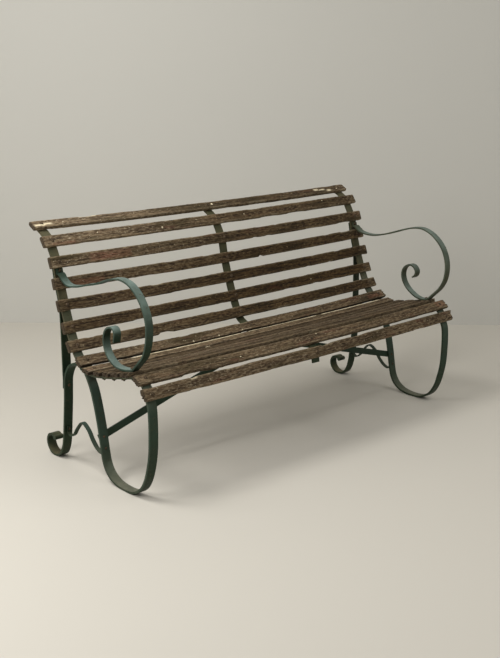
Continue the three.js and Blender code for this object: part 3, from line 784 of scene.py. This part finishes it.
def dressed(node, kind, material, slot, chalky=0.0, rusty=0.0):
    """A piece of iron with rounded edges, in the place of its solid."""
    mesh = rounded_copy(node, ROUNDING[kind])
    low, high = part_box(node)
    maps = {name: mesh.verts.layers.float.new(name) for name in ("chalky", "rusty", "rim")}
    middle_x, half_x = (low.x + high.x) / 2, (high.x - low.x) / 2
    for point in mesh.verts:
        upward = point.normal.z
        # less chalk at the back of the bench: painted shade under the slats
        out_of_root_shade = min(1.0, max(ROOT_CHALK, (ROOT_Y - point.co.y) / ROOT_REACH))
        point[maps["chalky"]] = chalky * out_of_root_shade * ramp(SIDE_CHALK + upward, 0, 1)
        ground = max(0.0, 1 - point.co.z / GROUND_REACH)
        dirt = ground * (GROUND_SIDE + GROUND_TOP * max(0.0, upward))
        drips = ramp(point.co.z, DRY_FROM, DRY_FROM + GROUND_REACH)
        point[maps["rusty"]] = min(1.0, rusty * drips + dirt)
        rim = (abs(point.co.x - middle_x) / half_x) ** RIM_SHARPNESS
        point[maps["rim"]] = RIM_WEAR * rim if half_x < WIDEST_BAR / 2 else 0.0
        if node in HANGING:
            point.co.z -= sag(point.co.x)
    piece = finished_piece(mesh, node + "_dressed", material)
    level = piece.modifiers.new("flat_faces", "WEIGHTED_NORMAL")
    level.keep_sharp = True
    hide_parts(node)


IRONWORK = {             # how chalky, how rusty
    "arm_left": (0.52, 0.0), "arm_right": (0.45, 0.35), "end_bar": (0.2, 0.8),
    "rear_leg": (0.09, 0.0), "back_stay": (0.0, 0.1), "stretcher": (0.12, 0.1),
    # the centre strap gets no chalk: painted shade for the shadow of the slats above it
    "brace": (0.1, 0.0), "centre_strap": (0.0, 0.6),
}
ironwork = [name for name in sorted(frame["nodes"]) if name not in SLATS]
for name in ironwork:
    family = next((key for key in IRONWORK if name.startswith(key)), None)
    if family and "bolt" not in name and "rivet" not in name:
        dressed(name, "bar", iron, "painted_iron", *IRONWORK[family])
    else:
        dressed(name, "bolt", rust, "rusty_iron")
print(len(ironwork), "pieces of iron dressed")

# %% [markdown]
# ## Slat bolts
# Every slat is held to each strap by one coach bolt: a low dome in front, a nut behind.
# The solids leave these small bolts out, so they are made here.
# One outline turned round an axis gives the dome, and a second mesh gives the square nut.

# %% Turn a bolt
DOME_RADIUS = 6.5 * MM
DOME_HEIGHT = 2.6 * MM
SHANK_RADIUS = 3 * MM
NUT_HALF = 6 * MM
NUT_HEIGHT = 5 * MM
THREAD = 3 * MM          # what sticks out past the nut
RIM_DEPTH = 0.6 * MM     # how far the dome's rim reaches into the wood
GRIP_PAST_SLAT = 8.6 * MM                # the strap, and the paint on it
NUT_EDGE = 0.8 * MM
SIDES = 16               # steps of the full turn
ARC_STEPS = 4            # steps over the dome
TIP_RADIUS = 0.02 * MM   # the top of the dome, welded to one point after the turn
TIP_WELD = 0.05 * MM


def bolt_mesh(grip):
    """A dome at height 0 and a square nut below the grip, along local Z."""
    mesh = bmesh.new()
    profile = [(SHANK_RADIUS, -grip - NUT_HEIGHT - THREAD), (SHANK_RADIUS, -RIM_DEPTH),
               (DOME_RADIUS, -RIM_DEPTH)]
    for step in range(ARC_STEPS + 1):
        turn = math.radians(90 * step / ARC_STEPS)
        profile.append((DOME_RADIUS * math.cos(turn), DOME_HEIGHT * math.sin(turn)))
    points = [mesh.verts.new((max(radius, TIP_RADIUS), 0, height)) for radius, height in profile]
    line = [mesh.edges.new(pair) for pair in zip(points, points[1:])]
    bmesh.ops.spin(mesh, geom=points + line, axis=(0, 0, 1), cent=(0, 0, 0),
                   angle=2 * math.pi, steps=SIDES, use_duplicate=False)
    bmesh.ops.remove_doubles(mesh, verts=mesh.verts, dist=TIP_WELD)
    nut = bmesh.ops.create_cube(mesh, size=1)["verts"]
    bmesh.ops.scale(mesh, vec=(2 * NUT_HALF, 2 * NUT_HALF, NUT_HEIGHT), verts=nut)
    bmesh.ops.translate(mesh, vec=(0, 0, -grip - NUT_HEIGHT / 2), verts=nut)
    edges = [edge for edge in mesh.edges if edge.verts[0] in nut and edge.verts[1] in nut]
    bmesh.ops.bevel(mesh, geom=edges, offset=NUT_EDGE, **BEVEL)
    bmesh.ops.holes_fill(mesh, edges=[e for e in mesh.edges if e.is_boundary], sides=0)
    bmesh.ops.recalc_face_normals(mesh, faces=mesh.faces)
    return mesh


sample = bolt_mesh(GRIP_PAST_SLAT)
print("a bolt has", len(sample.faces), "faces")
sample.free()

# %% Fit the bolts
BIGGER_BOLT_HOLDS = ("corner_slat", "seat_slat_5")   # to both outer straps, as a solid shows
SUNK = 0.3 * MM          # how far a dome is pulled into the wood
BOLT_ANGLE = math.radians(45)            # sharper edges than this stay sharp


def fit_bolts(row, x):
    """All the slat bolts of one strap, as one piece."""
    whole = bmesh.new()
    dice = random.Random(row)
    for name in SLATS:
        if x and name in BIGGER_BOLT_HOLDS:
            continue
        middle, across, face, (_, half_t) = slat_axes(name)
        bolt = bolt_mesh(2 * half_t + GRIP_PAST_SLAT)
        up = Vector((0, face[0], face[1]))
        yz = middle - across * slip(name, x)
        place = Vector((x, yz[0], yz[1] - sag(x))) + up * (half_t - SUNK)
        turn = Matrix.Rotation(dice.uniform(0, math.pi), 4, "Z")
        lean = up.to_track_quat("Z", "X").to_matrix().to_4x4()
        bolt.transform(Matrix.Translation(place) @ lean @ turn)
        part = bpy.data.meshes.new("bolt")
        bolt.to_mesh(part)
        bolt.free()
        whole.from_mesh(part)
        bpy.data.meshes.remove(part)
    piece = finished_piece(whole, row, rust)
    piece.data.set_sharp_from_angle(angle=BOLT_ANGLE)
    return piece


for row, x in (("slat_bolts_left", -STRAP_X), ("slat_bolts_centre", 0.0),
               ("slat_bolts_right", STRAP_X)):
    print(row, len(fit_bolts(row, x).data.vertices), "points")

# %% [markdown]
# ## Floor and backdrop
# A pale floor and a pale wall keep the eye on the bench.
# The wall stands square to the camera, so that its foot is a level line.
# Both are painted on one side only, and clear from behind: the bench's back shows too.

# %% Lay the floor and the wall


def plain_sheet(name, corners, hex_value, roughness):
    """A flat painted sheet between four corners, which is not part of the bench."""
    data = bpy.data.meshes.new(name)
    data.from_pydata(corners, [], [(0, 1, 2, 3)])
    material, tree = blank_material(name + "_paint")
    paint = add_node(tree, "BsdfPrincipled", {"Base Color": colour(hex_value),
                                              "Roughness": roughness})
    from_behind = add_node(tree, "NewGeometry", out="Backfacing")
    shader = add_node(tree, "MixShader", {0: from_behind, 1: paint,
                                          2: add_node(tree, "BsdfTransparent")})
    add_node(tree, "OutputMaterial", {"Surface": shader})
    data.materials.append(material)
    sheet = bpy.data.objects.new(name, data)
    bpy.context.collection.objects.link(sheet)


SPREAD = 8.0             # m, half of each side
WALL_BEHIND = 1.5
WALL_HEIGHT = 5.0
plain_sheet("floor", [(-SPREAD, -SPREAD, 0), (SPREAD, -SPREAD, 0), (SPREAD, SPREAD, 0),
                      (-SPREAD, SPREAD, 0)], "#c4beb2", 0.6)
away = Vector((-math.sin(HEADING), math.cos(HEADING), 0))
along = Vector((math.cos(HEADING), math.sin(HEADING), 0))
foot = away * WALL_BEHIND
top = Vector((0, 0, WALL_HEIGHT))
plain_sheet("wall", [foot - along * SPREAD, foot + along * SPREAD,
                     foot + along * SPREAD + top, foot - along * SPREAD + top],
            "#bdbab1", 0.8)
print("wall", WALL_BEHIND, "m behind the middle of the bench")

# %% [markdown]
# ## Light
# Three large soft lamps light the bench from above, from its left and from the front.
# Small lamps would throw hard shadows of every slat, and a bare sky would throw none.
# A weak grey world fills the shadows. Where the world itself is seen, mirrored or looked
# through, the light path swaps it for a plain pale backdrop.

# %% Light
LAMPS = {                # place, aim, side in m and power in W
    "ceiling_lamp": ((-1.6, 0.3, 3.0), (-0.7, 0.0, 0), 1.1, 58),
    "left_lamp": ((-3.0, 0.0, 1.9), (0, 0, 0.4), 1.5, 52),
    "front_lamp": ((1.0, -2.8, 3.0), (0.3, -1.6, 0), 2.4, 43),
}
SKY_STRENGTH = 0.34


def soft_lamp(name, place, aim, size, power):
    """A square area lamp that looks at a point."""
    data = bpy.data.lights.new(name, "AREA")
    data.size = size
    data.energy = power
    lamp = bpy.data.objects.new(name, data)
    lamp.location = place
    lamp.rotation_mode = "QUATERNION"
    lamp.rotation_quaternion = (Vector(aim) - Vector(place)).to_track_quat("-Z", "Y")
    bpy.context.collection.objects.link(lamp)


for name, settings in LAMPS.items():
    soft_lamp(name, *settings)
world = bpy.data.worlds.new("studio")
world.use_nodes = True
tree = world.node_tree
tree.nodes.clear()
sky = add_node(tree, "Background", {"Color": colour("#eceff0"), "Strength": SKY_STRENGTH})
pale = add_node(tree, "Background", {"Color": colour("#b5b2a9"), "Strength": 1.0})
rays = add_node(tree, "LightPath").node.outputs
seen = rays["Is Camera Ray"]
for ray in ("Is Glossy Ray", "Is Transmission Ray"):
    seen = add_node(tree, "Math", {0: seen, 1: rays[ray]}, operation="MAXIMUM")
backdrop = add_node(tree, "MixShader", {0: seen, 1: sky, 2: pale})
add_node(tree, "OutputWorld", {"Surface": backdrop})
bpy.context.scene.world = world
bpy.context.scene.view_settings.view_transform = "Standard"
print(len(LAMPS), "lamps and a pale world")
